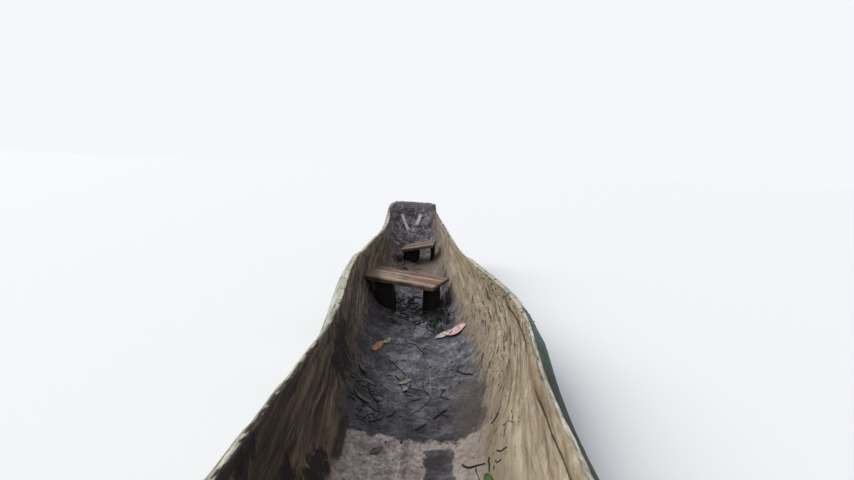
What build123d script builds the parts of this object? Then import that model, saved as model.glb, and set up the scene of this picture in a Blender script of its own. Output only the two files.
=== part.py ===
from build123d import *
from collections import namedtuple
from math import atan2, cos, hypot, radians, sin, tan
import os

os.makedirs("parts", exist_ok=True)

# Dugout canoe, hewn from one log. +X is forward, +Y is port, +Z is up.
# The origin is amidships on the centreline at the waterline. All sizes are in mm.

# One station of the hull: x, half breadth of the gunwale to port and to starboard, half breadth of the
# log at its widest, gunwale height, keel height, floor height inside and half width of the floor.
Station = namedtuple(
    "Station",
    "x port starboard port_wide starboard_wide port_top starboard_top keel floor port_foot starboard_foot",
)

# The stations from the stern to the bow. At both ends the floor runs out above the gunwales, which
# leaves the solid ends.
hull_stations = [
    Station(-3200, 150, 150, 165, 165, 348, 348, 165, 395, 118, 118),
    Station(-2600, 215, 212, 243, 240, 288, 290, -20, 120, 120, 118),
    Station(-1900, 282, 278, 315, 312, 245, 246, -120, 0, 155, 150),
    Station(-1100, 322, 318, 352, 356, 226, 224, -158, -80, 180, 180),
    Station(-300, 318, 320, 345, 360, 223, 220, -166, -98, 186, 186),
    Station(400, 279, 341, 304, 396, 222, 235, -164, -88, 182, 186),
    Station(1000, 270, 360, 310, 404, 240, 254, -148, -56, 176, 180),
    Station(1600, 281, 272, 318, 306, 275, 268, -120, -10, 165, 155),
    Station(2100, 232, 212, 264, 244, 302, 292, -72, 62, 138, 127),
    Station(2600, 194, 171, 216, 197, 342, 338, 2, 145, 120, 108),
    Station(3200, 165, 128, 174, 140, 426, 422, 190, 468, 140, 100),
]
bottom_share = 0.66  # half width of the round bottom against the log's widest place
bottom_rise = 62  # height of the bilge above the keel
end_bottom_rise = 40  # the same at the two ends
shoulder = 88  # how far below the gunwale the log is widest
wall_edge = 24  # thickness of the wall at the gunwale
least_wall = 40  # height of the hollow's wall where the floor runs out
brim_above = 12  # how far above the gunwale the hollow's curve turns straight up
hollow_above = 130  # height above the gunwale to which the hollow is cut

# The pull of the curve that makes each side of the hollow
floor_pull = 1.25  # along the floor, against the floor's half width
wall_out = 0.85  # outwards, as a share of the way from the floor's edge to the gunwale
wall_up = 0.25  # upwards, as a share of the hollow's depth

# Flats that the adze leaves across each curve of a section
bottom_flats = 6
side_flats = 4
shoulder_flats = 3
hollow_flats = 8

seat_room = 4  # least space between a seat and the wall
foot_room = 0.3  # space between a foot and the floor it is scribed to

# Benches. Columns: name, x and y of the top's centre, its height, length athwart, width fore and aft,
# thickness, heel (port side up), pitch (fore edge up), turn (starboard end forward), skew of the ends
benches = [
    ("stern_bench", -2330, 0, 208, 300, 190, 26, 0, 0, 0, 0),
    ("passenger_bench", -1180, 0, 82, 440, 240, 28, 0, 0, 0, 0),
    ("near_bench", 1765, 43, 161, 354, 214, 22, 8, 6, 0, 86),
    ("fore_bench", 2468, -14, 221, 206, 132, 22, -14, 3, 16, -12),
]

# Legs under the seats. Columns: bench, name, place on the seat forward and to port, size fore and aft,
# size athwart, lean (foot inwards to starboard)
legs = [
    ("stern_bench", "port_leg", 0, 88, 120, 48, 0),
    ("stern_bench", "starboard_leg", 0, -88, 120, 48, 0),
    ("passenger_bench", "port_leg", 0, 135, 150, 62, 6),
    ("passenger_bench", "starboard_leg", 0, -135, 150, 62, -6),
    ("near_bench", "port_leg", -20, 108, 130, 84, 14),
    ("near_bench", "starboard_leg", 0, -132, 130, 88, 0),
    ("fore_bench", "port_block", -6, 46, 84, 92, 0),
    ("fore_bench", "starboard_prop", 14, -82, 58, 16, 0),
]
leg_reach = 400  # longer than any leg, which the floor then cuts to length

# Thin battens nailed over splits on the bow ramp. Columns: name, x and y of the lower end,
# x and y of the upper end
battens = [
    ("bow_batten_port", 2934, 55, 3062, 105),
    ("bow_batten_starboard", 2992, 3, 3083, -22),
]
batten_width = 24
batten_thick = 6

# Cover strips nailed along the top of the gunwale. Columns: name, side (port 1), x of both ends
gunwale_strips = [
    ("gunwale_strip_port", 1, 860, 1690),
    ("gunwale_strip_starboard", -1, 780, 1730),
]
strip_thick = 5
strip_inset = 4  # from the inner edge of the gunwale
strip_cut = 1200  # wider and higher than the hull, to cut a strip to length
strip_lip = 2  # how far the strip stands over the outer edge, and hangs down there


def hewn(curve, flats):
    """Points that cut a curve into equal flats, as an adze leaves it."""
    return [curve @ (i / flats) for i in range(flats + 1)]


def side_sizes(row, side):
    """One side of a station, port 1 or starboard -1: gunwale, widest place, gunwale height, floor."""
    if side > 0:
        return row.port, row.port_wide, row.port_top, row.port_foot
    return row.starboard, row.starboard_wide, row.starboard_top, row.starboard_foot


def hull_section(row):
    """Outside of the log at one station: round bottom, bulging sides that close in, straight top."""
    rise = end_bottom_rise if row in (hull_stations[0], hull_stations[-1]) else bottom_rise
    half = bottom_share * min(row.port_wide, row.starboard_wide)
    turn = 2 * atan2(rise, half)
    bilge = row.keel + rise
    bottom = hewn(ThreePointArc((-half, bilge), (0, row.keel), (half, bilge)), bottom_flats)
    sides = []
    for side in (-1, 1):
        gunwale, wide, top, foot = side_sizes(row, side)
        lower = Bezier((half, bilge), (wide, bilge + (wide - half) * tan(turn)), (wide, top - shoulder))
        upper = TangentArc((wide, top - shoulder), (gunwale, top), tangent=(0, 1))
        points = hewn(lower, side_flats)[1:] + hewn(upper, shoulder_flats)[1:]
        sides.append([(side * point.X, point.Y) for point in points])
    with BuildSketch(Plane.YZ.offset(row.x)) as section:
        with BuildLine():
            Polyline(*sides[0][::-1], *bottom, *sides[1], close=True)
        make_face()
    return section.sketch


def hollow_section(row, room):
    """Inside of the log at one station, drawn in by the given room: a soft curve up each side."""
    low = row.floor + room
    sides = []
    for side in (-1, 1):
        gunwale, wide, top, foot = side_sizes(row, side)
        edge = gunwale - wall_edge - room
        brim = max(top, low + least_wall) + brim_above
        curve = Bezier(
            (0, low),
            (floor_pull * (foot - room), low),
            (foot - room + wall_out * (edge - foot), low + wall_up * (brim - low)),
            (edge, brim),
        )
        points = hewn(curve, hollow_flats)[1:] + [Vector(edge, brim + hollow_above)]
        sides.append([(side * point.X, point.Y) for point in points])
    with BuildSketch(Plane.YZ.offset(row.x)) as section:
        with BuildLine():
            Polyline(*sides[0][::-1], (0, low), *sides[1], close=True)
        make_face()
    return section.sketch


def hollow_space(room):
    """The space inside the log as a solid, smaller all round by the given room."""
    with BuildPart() as space:
        loft([hollow_section(row, room) for row in hull_stations])
    return space.part


def strip_section(row, side):
    """Cross-section of a cover strip on the gunwale at one station."""
    gunwale, wide, top, foot = side_sizes(row, side)
    outer = gunwale + strip_lip
    inner = gunwale - wall_edge + strip_inset
    top += foot_room + strip_thick
    bottom = top - strip_thick - strip_lip
    with BuildSketch(Plane.YZ.offset(row.x)) as section:
        with BuildLine():
            Polyline(
                (side * inner, bottom),
                (side * outer, bottom),
                (side * outer, top),
                (side * inner, top),
                close=True,
            )
        make_face()
    return section.sketch


seat_space = hollow_space(seat_room)
foot_space = hollow_space(foot_room)

with BuildPart() as hull:
    loft([hull_section(row) for row in hull_stations])
    add(hollow_space(0), mode=Mode.SUBTRACT)
hull.part.label = "hull"
export_step(hull.part, "parts/hull.step")


def seat_plane(bench):
    """Plane of a seat's top: local x runs forward and local y to port."""
    name, x, y, z, length, width, thick, heel, pitch, turn, skew = bench
    return Plane(Location((x, y, z), (heel, -pitch, -turn)))


for bench in benches:
    name, x, y, z, length, width, thick, heel, pitch, turn, skew = bench
    with BuildPart() as seat:
        with BuildSketch(seat_plane(bench)):
            with BuildLine():
                Polyline(
                    (-width / 2, (length + skew) / 2),
                    (width / 2, (length - skew) / 2),
                    (width / 2, (-length - skew) / 2),
                    (-width / 2, (-length + skew) / 2),
                    close=True,
                )
            make_face()
        extrude(amount=-thick)
        add(seat_space, mode=Mode.INTERSECT)
    seat.part.label = f"{name}_seat"
    export_step(seat.part, f"parts/{name}_seat.step")

bench_by_name = {bench[0]: bench for bench in benches}

for bench_name, leg_name, along, across, size_along, size_across, lean in legs:
    bench = bench_by_name[bench_name]
    seat_thick = bench[6]
    underside = seat_plane(bench).offset(-seat_thick)
    with BuildPart() as leg:
        with BuildSketch(underside):
            with Locations((along, across)):
                Rectangle(size_along, size_across)
        extrude(amount=leg_reach, dir=(0, -sin(radians(lean)), -cos(radians(lean))))
        add(foot_space, mode=Mode.INTERSECT)
    leg.part.label = f"{bench_name}_{leg_name}"
    export_step(leg.part, f"parts/{bench_name}_{leg_name}.step")

for name, low_x, low_y, high_x, high_y in battens:
    run = hypot(high_x - low_x, high_y - low_y)
    along = Vector(high_x - low_x, high_y - low_y, 0)
    with BuildPart() as batten:
        with BuildSketch(Plane(origin=(low_x, low_y, 0), x_dir=along, z_dir=(0, 0, 1))):
            with Locations((run / 2, 0)):
                Rectangle(run, batten_width)
        extrude(amount=hull_stations[-1].floor)
        add(foot_space, mode=Mode.INTERSECT)
        add(hollow_space(batten_thick), mode=Mode.SUBTRACT)
    batten.part.label = name
    export_step(batten.part, f"parts/{name}.step")

for name, side, start, end in gunwale_strips:
    seated_hull = Pos(0, side * foot_room, foot_room) * hull.part
    with BuildPart() as strip:
        loft([strip_section(row, side) for row in hull_stations])
        with Locations(((start + end) / 2, 0, 0)):
            Box(end - start, strip_cut, strip_cut, mode=Mode.INTERSECT)
        add(seated_hull, mode=Mode.SUBTRACT)
    strip.part.label = name
    export_step(strip.part, f"parts/{name}.step")
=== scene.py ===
from math import cos, pi, radians, sin, sqrt
from random import Random

import bmesh
import bpy
import numpy as np
from mathutils import Euler, Matrix, Vector, noise
from mathutils.bvhtree import BVHTree


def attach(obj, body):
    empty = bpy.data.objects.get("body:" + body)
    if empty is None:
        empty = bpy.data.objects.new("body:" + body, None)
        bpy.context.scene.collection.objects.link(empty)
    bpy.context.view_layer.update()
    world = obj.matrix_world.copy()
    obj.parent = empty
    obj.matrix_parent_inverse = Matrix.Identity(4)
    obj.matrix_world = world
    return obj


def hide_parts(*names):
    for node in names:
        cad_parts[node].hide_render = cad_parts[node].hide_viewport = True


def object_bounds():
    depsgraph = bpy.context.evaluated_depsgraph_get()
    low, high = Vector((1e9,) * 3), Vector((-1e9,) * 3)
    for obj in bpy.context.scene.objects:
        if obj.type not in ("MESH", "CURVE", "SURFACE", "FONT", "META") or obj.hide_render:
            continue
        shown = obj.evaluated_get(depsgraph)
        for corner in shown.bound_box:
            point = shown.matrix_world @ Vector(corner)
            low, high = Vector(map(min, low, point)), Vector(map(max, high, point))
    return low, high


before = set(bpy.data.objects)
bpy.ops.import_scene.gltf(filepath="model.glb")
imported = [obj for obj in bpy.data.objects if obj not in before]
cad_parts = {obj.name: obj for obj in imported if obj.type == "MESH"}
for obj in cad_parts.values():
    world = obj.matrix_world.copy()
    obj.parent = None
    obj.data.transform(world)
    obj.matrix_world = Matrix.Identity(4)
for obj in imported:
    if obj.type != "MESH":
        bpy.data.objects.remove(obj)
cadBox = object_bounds()
scene = bpy.context.scene
print("frame loaded:", len(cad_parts), "nodes")


def shown(name, data):
    piece = bpy.data.objects.new(name, data)
    scene.collection.objects.link(piece)
    return piece


# The camera, held above the passenger bench and looking forward. Metres, degrees and pixels.
view = {
    "place": (-1.17, 0.0, 0.73),
    "lens": 26.0,
    "sensor": 36.0,
    "imageSize": (854, 480),
    "keelVanishes": (420, 158),  # where lines along the canoe meet in the picture
    "roll": 2.5,
    "nearest": 0.02,
}


def aimCamera():
    wide, high = view["imageSize"]
    acrossPixel, downPixel = view["keelVanishes"]
    focal = view["lens"] / view["sensor"] * wide
    ahead = Vector((acrossPixel - wide / 2, downPixel - high / 2, focal)).normalized()
    roll = radians(view["roll"])
    mast = Vector((sin(roll), -cos(roll), 0))  # the canoe's axes as the camera sees them
    mast = (mast - mast.dot(ahead) * ahead).normalized()
    port = mast.cross(ahead)
    turned = Matrix([(axis.x, -axis.y, -axis.z) for axis in (ahead, port, mast)])
    camera = shown("camera", bpy.data.cameras.new("camera"))
    camera.data.lens = view["lens"]
    camera.data.sensor_width = view["sensor"]
    camera.data.clip_start = view["nearest"]
    camera.matrix_world = Matrix.Translation(view["place"]) @ turned.to_4x4()
    scene.camera = camera


aimCamera()
print("camera aimed")


# Shader maths

def operator(operation, flipped=False):
    def combine(self, other):
        values = (other, self) if flipped else (self, other)
        return self.finish.node("Math", {"operation": operation}, values)
    return combine


class Wash:  # a value or colour on its way through a finish
    def __init__(self, finish, socket):
        self.finish = finish
        self.socket = socket

    __add__ = __radd__ = operator("ADD")
    __sub__ = operator("SUBTRACT")
    __rsub__ = operator("SUBTRACT", flipped=True)
    __mul__ = __rmul__ = operator("MULTIPLY")
    orMore = operator("MAXIMUM")

    def size(self):
        return self.finish.node("Math", {"operation": "ABSOLUTE"}, [self])

    def stirred(self, by, much):  # moved up and down by a noise
        return self + (by - 0.5) * much

    def rise(self, low, high):  # 0 at low, 1 at high, smooth between
        sockets = {"Value": self, "From Min": low, "From Max": high}
        return self.finish.node("MapRange", {"interpolation_type": "SMOOTHSTEP"}, sockets)

    def near(self, middle, reach):  # 1 at the middle, 0 a reach away
        return (self - middle).size().rise(reach, 0)

    def band(self, middle, reach, edge):  # 1 over most of the reach, with a soft edge
        return self.near(middle, reach).rise(0, edge)


def paint(code):  # a colour written as six hexadecimal digits, made linear
    parts = [int(code[i:i + 2], 16) / 255 for i in (0, 2, 4)]
    return tuple(c / 12.92 if c <= 0.04045 else ((c + 0.055) / 1.055) ** 2.4 for c in parts) + (1,)


class Finish:  # a material, or the world, and the nodes that make it
    def __init__(self, name, world=False):
        self.made = (bpy.data.worlds if world else bpy.data.materials).new(name)
        self.made.use_nodes = True
        self.ending = "OutputWorld" if world else "OutputMaterial"
        self.tree = self.made.node_tree
        self.tree.nodes.clear()

    def node(self, kind, settings=None, sockets=(), output=0):
        made = self.tree.nodes.new("ShaderNode" + kind)
        for name, value in (settings or {}).items():
            if name == "stops":
                elements = made.color_ramp.elements
                elements.remove(elements[1])
                elements[0].position, elements[0].color = value[0][0], paint(value[0][1])
                for place, code in value[1:]:
                    elements.new(place).color = paint(code)
            else:
                setattr(made, name, value)
        named = sockets.items() if isinstance(sockets, dict) else enumerate(sockets)
        for key, value in named:
            if isinstance(value, Wash):
                self.tree.links.new(value.socket, made.inputs[key])
            else:
                made.inputs[key].default_value = paint(value) if isinstance(value, str) else value
        return Wash(self, made.outputs[output]) if len(made.outputs) else None

    def place(self):
        return self.node("TexCoord", output="Object")

    def parts(self, vector):
        split = self.node("SeparateXYZ", {}, [vector]).socket.node
        return [Wash(self, socket) for socket in split.outputs]

    def stored(self, name):  # an attribute of the mesh
        return self.node("Attribute", {"attribute_name": name}, output="Vector")

    def stretch(self, vector, scale):
        return self.node("VectorMath", {"operation": "MULTIPLY"}, [vector, scale])

    def shift(self, vector, other):
        return self.node("VectorMath", {"operation": "ADD"}, [vector, other])

    def noise(self, vector, scale, detail=4, rough=0.55):
        sockets = {"Vector": vector, "Scale": scale, "Detail": detail, "Roughness": rough}
        return self.node("TexNoise", {}, sockets)

    def strands(self, vector, scale, detail, rough=0.55):  # noise drawn out along a vector
        return self.noise(self.stretch(vector, scale), 1, detail, rough)

    def tones(self, value, *stops):  # places between 0 and 1 with their colour codes
        return self.node("ValToRGB", {"stops": stops}, [value])

    def mix(self, share, first, second):
        return self.node("Mix", {"data_type": "RGBA"}, {0: share, 6: first, 7: second}, 2)

    def lay(self, colour, rough, height=None, depth=0.002, shine=0.5):
        sockets = {"Base Color": colour, "Roughness": rough, "Specular IOR Level": shine}
        if height is not None:
            sockets["Normal"] = self.node("Bump", {}, {"Height": height, "Distance": depth})
        surface = self.node("BsdfPrincipled", {}, sockets)
        return self.close(surface)

    def close(self, surface):
        self.node(self.ending, {}, {"Surface": surface})
        return self.made


# Meshes as rows of numbers, and back

def rowsOf(items, name):
    run = np.empty(len(items) * 3)
    items.foreach_get(name, run)
    return run.reshape(-1, 3)


def triangles(piece):
    mesh = piece.data
    mesh.calc_loop_triangles()
    corners = np.empty(len(mesh.loop_triangles) * 3, int)
    mesh.loop_triangles.foreach_get("vertices", corners)
    return rowsOf(mesh.vertices, "co")[corners.reshape(-1, 3)]


def quadsBetween(rows, columns):  # faces that join closed rings, each point's number and the next one's
    at = np.arange(rows * columns).reshape(rows, columns)
    beside = np.roll(at, -1, axis=1)
    quads = np.stack([at[:-1], beside[:-1], beside[1:], at[1:]], axis=-1).reshape(-1, 4)
    return quads.tolist(), at, beside


def asMesh(name, points, faces, soft=True):
    mesh = bpy.data.meshes.new(name)
    mesh.from_pydata([tuple(p) for p in points], [], [tuple(f) for f in faces])
    mesh.polygons.foreach_set("use_smooth", [soft] * len(mesh.polygons))
    return mesh


def store(mesh, name, vectors):  # a vector at each point, for a material or a recipe to read
    stored = mesh.attributes.new(name, "FLOAT_VECTOR", "POINT")
    stored.data.foreach_set("vector", np.ravel(vectors))


def worked(holder):  # the plain mesh that an object's modifier makes, in place of the object
    mesh = bpy.data.meshes.new_from_object(holder.evaluated_get(bpy.context.evaluated_depsgraph_get()))
    bpy.data.objects.remove(holder)
    return mesh


def surfaceOf(mesh):
    return BVHTree.FromPolygons([v.co for v in mesh.vertices], [p.vertices for p in mesh.polygons])


def addPiece(name, mesh, finish, slot, *nodes):  # a finished piece of the canoe
    piece = shown(name, mesh)
    mesh.materials.clear()
    mesh.materials.append(finish)
    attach(piece, "root")
    if nodes:
        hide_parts(*nodes)
    return piece


def smooth(value, low, high):  # 0 at low, 1 at high
    share = min(1.0, max(0.0, (value - low) / (high - low)))
    return share * share * (3 - 2 * share)


def noiseAt(x, y, z):
    return noise.noise(Vector((x, y, z)))


# The hull: the log's own sections, drawn again as fine rows and roughened with tool marks

hullLook = {
    "fineFrom": -0.75, "fineTo": 0.65,  # the rows near the camera are closest together
    "fineStep": 0.0064, "foreStep": 0.0098, "aftStep": 0.0235,
    "outerSteps": 58, "topSteps": 6, "innerSteps": 92,
    "deckShare": 0.45,  # of the half breadth, where the hollow runs out
    "deckFlat": 0.0008, "leastDip": 0.001,  # the gunwale's top is flat to this, and a hollow deeper than that
    "endRound": 0.016, "endRows": 4,
    "endGap": 0.0006,  # between the last section and the end of the CAD's log
    "capRings": 8, "capGrain": 0.15,
    "grainStep": 0.0095,  # metres of grain from one column to the next
    "cornerMix": (0.4, 0.3),  # a corner of the gunwale against each of its two neighbours
    "boxGap": 0.0002,
    "adze": (0.17, 0.052), "adzeDeep": 0.0042,
    "wave": 0.006, "ripple": 0.0012, "rampWave": 0.005,
    "wornFloor": (0.05, 0.01),  # heights above the floor's middle
    "ramp": (2.45, 2.75),
    "planedOff": 0.005,  # from the outside, so that the marks stay within the log
    "stripStart": (0.70, 0.80), "stripEnd": (1.80, 1.70), "stripReach": (0.06, 0.02), "stripBed": 0.0006,
    "chip": 0.008, "chipReach": (0.03, 0.004), "rounded": 0.0015, "rimSway": 0.003,
    "bite": (1.70, 1.84, 0.018),  # a piece gone from the port gunwale
    "biteEnds": (0.02, 0.08), "biteReach": (0.07, 0.01),
    "cracks": [  # from x, to x, side (port 1), distance below the gunwale, half width, depth
        (-1.00, 0.40, -1, 0.034, 0.011, 0.0045),
        (-0.80, -0.10, 1, 0.040, 0.011, 0.0050),
        (0.55, 0.95, 1, 0.055, 0.010, 0.0040),
        (1.95, 2.60, -1, 0.025, 0.010, 0.0030),
        (-2.60, -1.60, 1, 0.045, 0.011, 0.0040),
    ],
    "crackSway": 0.006, "crackFade": 0.12,
    "crackLips": (1.6, 0.3),  # where the slope down into a crack starts and ends, in its half widths
    "gouges": [  # black ones in the port wall: place along and up, half length, half height
        (-0.11, 0.205, 0.035, 0.034), (-0.16, 0.185, 0.030, 0.030), (0.07, 0.058, 0.035, 0.040),
        (0.80, 0.100, 0.170, 0.105), (0.20, -0.015, 0.110, 0.032),
    ],
    "along": {  # places along the canoe: start and end of a change, or middle, reach and edge of a patch
        "foreWall": (0.55, 1.1), "deepPores": (0.2, 0.9), "mossyEnd": (2.3, 1.9),
        "spots": (1.15, 0.5, 0.4), "dashes": (1.0, 0.45, 0.4),
        "paleWall": (0.2, 0.6), "clay": (1.36, 0.34, 0.5), "aftShade": (0.7, 0.0),
        "fleckCrowd": (1.15, 0.6), "fleckStart": (0.15, 0.75), "fleckEnd": (2.75, 2.4),
        "ramp": (2.3, 2.75), "rampTip": (3.10, 3.16), "brokenCorner": (3.07, 0.09, 0.3),
        "siltEnd": (2.5, 2.1), "dirtySilt": (1.85, 2.0),
        "wetStart": (0.515, 0.54), "wetEnd": (2.25, 2.0), "damp": (0.33, 0.165, 0.12),
        "brink": (1.0, 0.62), "stain": (0.62, 0.4, 0.5), "scraped": (1.0, 0.26, 0.3),
        "crease": (0.44, 0.17, 0.3),
        "lowerCrack": (0.32, 0.2), "upperCrack": (0.72, 0.34, 0.3), "ochre": (1.0, 0.6),
        "shadedAftOutside": (0.62, 0.28),
        "underStrip": (0.75, 1.1), "raggedTop": (1.2, 0.8), "wornTop": (3.0, 2.7),
    },
    "tones": {  # from the darkest to the lightest
        "sunlit": ((0.35, "84715b"), (0.44, "a29078"), (0.52, "b8a78d"), (0.63, "d2c3a7")),
        "shaded": ((0.37, "1d1615"), (0.45, "42362f"), (0.52, "62544a"), (0.61, "968570")),
        "ramp": ((0.39, "29242b"), (0.46, "4d464d"), (0.53, "766e74"), (0.61, "aaa09e")),
        "silt": ((0.39, "756766"), (0.47, "9d908f"), (0.53, "b5aaa8"), (0.61, "d2cac5")),
        "mud": ((0.39, "17161a"), (0.46, "38363f"), (0.53, "5c5b65"), (0.61, "8f8e99")),
        # the outside: the same wood with painted shade to starboard and painted light to port
        "shadedGreyGreen": ((0.40, "253833"), (0.47, "3a5347"), (0.53, "52695c"), (0.61, "7b8d80")),
        "bleached": ((0.40, "74776a"), (0.47, "999b8c"), (0.53, "b5b6a6"), (0.61, "d0d0c2")),
        "gunwale": ((0.36, "857a63"), (0.45, "b3ab94"), (0.53, "d0cab8"), (0.64, "e6e2d6")),
    },
}
nudge = 1e-6  # keeps a section off the CAD's own corners


def crossing(fan, x):  # where each triangle's edge goes from fore to aft of x, and back
    ahead = fan[:, :, 0] > x
    found = []
    for leaves in (True, False):
        spots = np.zeros((len(fan), 2))
        for i in range(3):
            a, b = fan[:, i], fan[:, (i + 1) % 3]
            hit = (ahead[:, i] == leaves) & (ahead[:, (i + 1) % 3] != leaves)
            low = np.where(leaves, b, a)[hit]
            high = np.where(leaves, a, b)[hit]
            share = (x - low[:, :1]) / (high[:, :1] - low[:, :1])
            spots[hit] = (low + (high - low) * share)[:, 1:]
        found.append(spots)
    return found


def outline(fan, x):  # the log's section at x: outside from starboard to port, then the top back again
    fan = fan[(fan[:, :, 0].min(1) < x) & (fan[:, :, 0].max(1) > x)]
    starts, ends = crossing(fan, x)
    following = {tuple(a): tuple(b) for a, b in zip(starts.tolist(), ends.tolist()) if a != b}
    spot = next(iter(following))
    loop = []
    while spot in following:
        loop.append(spot)
        spot = following.pop(spot)
    loop = np.array(loop)
    loop = np.roll(loop, -int(np.argmax(3 * loop[:, 1] - loop[:, 0])), axis=0)
    loop = np.vstack([loop, loop[:1]])
    turn = int(np.argmax(3 * loop[:, 1] + loop[:, 0]))
    if loop[:turn + 1, 1].min() > loop[turn:, 1].min():
        loop = loop[::-1]
        turn = len(loop) - 1 - turn
    return loop[:turn + 1], loop[turn:]


def lengthAlong(path):
    return np.concatenate([[0], np.cumsum(np.hypot(*np.diff(path, axis=0).T))])


def hollowEdge(top, share):  # how far along the top the hollow starts
    run = lengthAlong(top)
    across = (top[-1] - top[0]) / np.hypot(*(top[-1] - top[0]))
    off = (top - top[0]) @ np.array([-across[1], across[0]])
    i = 1
    while i < len(top) - 1 and abs(off[i]) < hullLook["deckFlat"]:
        i += 1
    least = share * abs(top[0, 0])
    if abs(top[i - 1, 0]) > least and abs(off).max() > hullLook["leastDip"]:
        return run[i - 1]
    inward = -np.sign(top[0, 0]) * top[:, 0]
    return np.interp(-least, inward, run)


def spread(path, start, end, count):
    run = lengthAlong(path)
    at = np.linspace(start, end, count + 1)[:-1]
    return np.column_stack([np.interp(at, run, path[:, 0]), np.interp(at, run, path[:, 1])])


def hullRing(fan, x):
    look = hullLook
    outside, top = outline(fan, x)
    portEdge = hollowEdge(top, look["deckShare"])
    girth = lengthAlong(top)[-1]
    starboardEdge = girth - hollowEdge(top[::-1], look["deckShare"])
    rows = [
        spread(outside, 0, lengthAlong(outside)[-1], look["outerSteps"]),
        spread(top, 0, portEdge, look["topSteps"]),
        spread(top, portEdge, starboardEdge, look["innerSteps"]),
        spread(top, starboardEdge, girth, look["topSteps"]),
    ]
    return np.vstack(rows)


def stationRun():  # where along the canoe the rows stand
    look = hullLook
    aft, fore = cadBox[0].x, cadBox[1].x
    pieces = [
        (aft + look["endRound"], look["fineFrom"], look["aftStep"]),
        (look["fineFrom"], look["fineTo"], look["fineStep"]),
        (look["fineTo"], fore - look["endRound"], look["foreStep"]),
    ]
    run = [np.linspace(a, b, max(2, round((b - a) / step)))[:-1] for a, b, step in pieces]
    rounding = look["endRound"] * (1 - np.cos(np.linspace(0, pi / 2, look["endRows"] + 1)))[:-1]
    return np.concatenate([aft + rounding, *run, [fore - look["endRound"]], fore - rounding[::-1]])


def roundedIn(ring, inset):  # a ring drawn in by the rounding of the log's ends
    middle = ring.mean(0)
    reach = ring - middle
    size = np.hypot(*reach.T)[:, None]
    return middle + reach * (1 - inset / size)


def hullRings():
    look = hullLook
    aft, fore = cadBox[0].x, cadBox[1].x
    found = []
    for x in stations:
        bend = max(0.0, look["endRound"] - min(x - aft, fore - x))
        inset = look["endRound"] - sqrt(look["endRound"] ** 2 - bend ** 2)
        ring = hullRing(fan, float(np.clip(x, aft + look["endGap"], fore - look["endGap"])) + nudge)
        found.append(roundedIn(ring, inset) if inset > 0 else ring)
    return np.array(found)


fan = triangles(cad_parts["hull"])
stations = stationRun()
rings = hullRings()
rowCount, columnCount = rings.shape[:2]
print("hull sections:", rowCount, "rows of", columnCount)


def cappedRows():  # the rings, with rings that close both ends, and each row's place along the grain
    look = hullLook
    body = np.empty((rowCount, columnCount, 3))
    body[:, :, 0] = stations[:, None]
    body[:, :, 1:] = rings
    shares = np.linspace(0, 1, look["capRings"] + 2)[1:-1, None, None]
    caps = []
    for ring in (body[0], body[-1]):
        middle = ring.mean(0)
        caps.append(ring[None] + (middle - ring)[None] * shares)
    past = shares[:, 0, 0] * look["capGrain"]
    grain = [stations[0] - past[::-1], stations, stations[-1] + past]
    return np.concatenate([caps[0][::-1], body, caps[1]]), np.concatenate(grain)


def hullFaces(rows, columns, aftMiddle, foreMiddle):
    quads, at, beside = quadsBetween(rows, columns)
    aftFan = [(aftMiddle, b, a) for a, b in zip(at[0], beside[0])]
    foreFan = [(foreMiddle, a, b) for a, b in zip(at[-1], beside[-1])]
    return quads + aftFan + foreFan


def hullZones(points, rows):  # for each point: how far inside, way from the gunwale, height over the floor
    look = hullLook
    outer, top, inner = look["outerSteps"], look["topSteps"], look["innerSteps"]
    inside = np.zeros(columnCount)
    inside[outer:outer + top] = np.arange(top) / top
    inside[outer + top:outer + top + inner] = 1
    inside[outer + top + inner:] = 1 - np.arange(top) / top
    rim = np.zeros((rows, columnCount))
    step = np.linalg.norm(np.roll(points, -1, axis=1) - points, axis=2)
    outerRun = np.cumsum(step[:, :outer], axis=1) - step[:, :1]
    rim[:, :outer] = -np.minimum(outerRun, outerRun[:, -1:] - outerRun)
    start = outer + top
    innerLength = np.cumsum(step[:, start:start + inner], axis=1) - step[:, start:start + 1]
    rim[:, start:start + inner] = np.minimum(innerLength, innerLength[:, -1:] - innerLength)
    middle = start + inner // 2
    height = points[:, :, 2] - points[:, middle:middle + 1, 2]
    return np.stack([np.broadcast_to(inside, rim.shape), rim, height], axis=-1)


def crackDepth(x, side, rim):
    look, found = hullLook, 0.0
    outer, inner = look["crackLips"]
    for start, end, crackSide, below, half, deep in look["cracks"]:
        if crackSide == side and start < x < end and rim > 0:
            line = below + look["crackSway"] * noiseAt(x * 2.5, below * 90, 3)
            fade = smooth(x, start, start + look["crackFade"]) * smooth(x, end, end - look["crackFade"])
            found += deep * fade * smooth(abs(rim - line), half * outer, half * inner)
    return found


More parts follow.
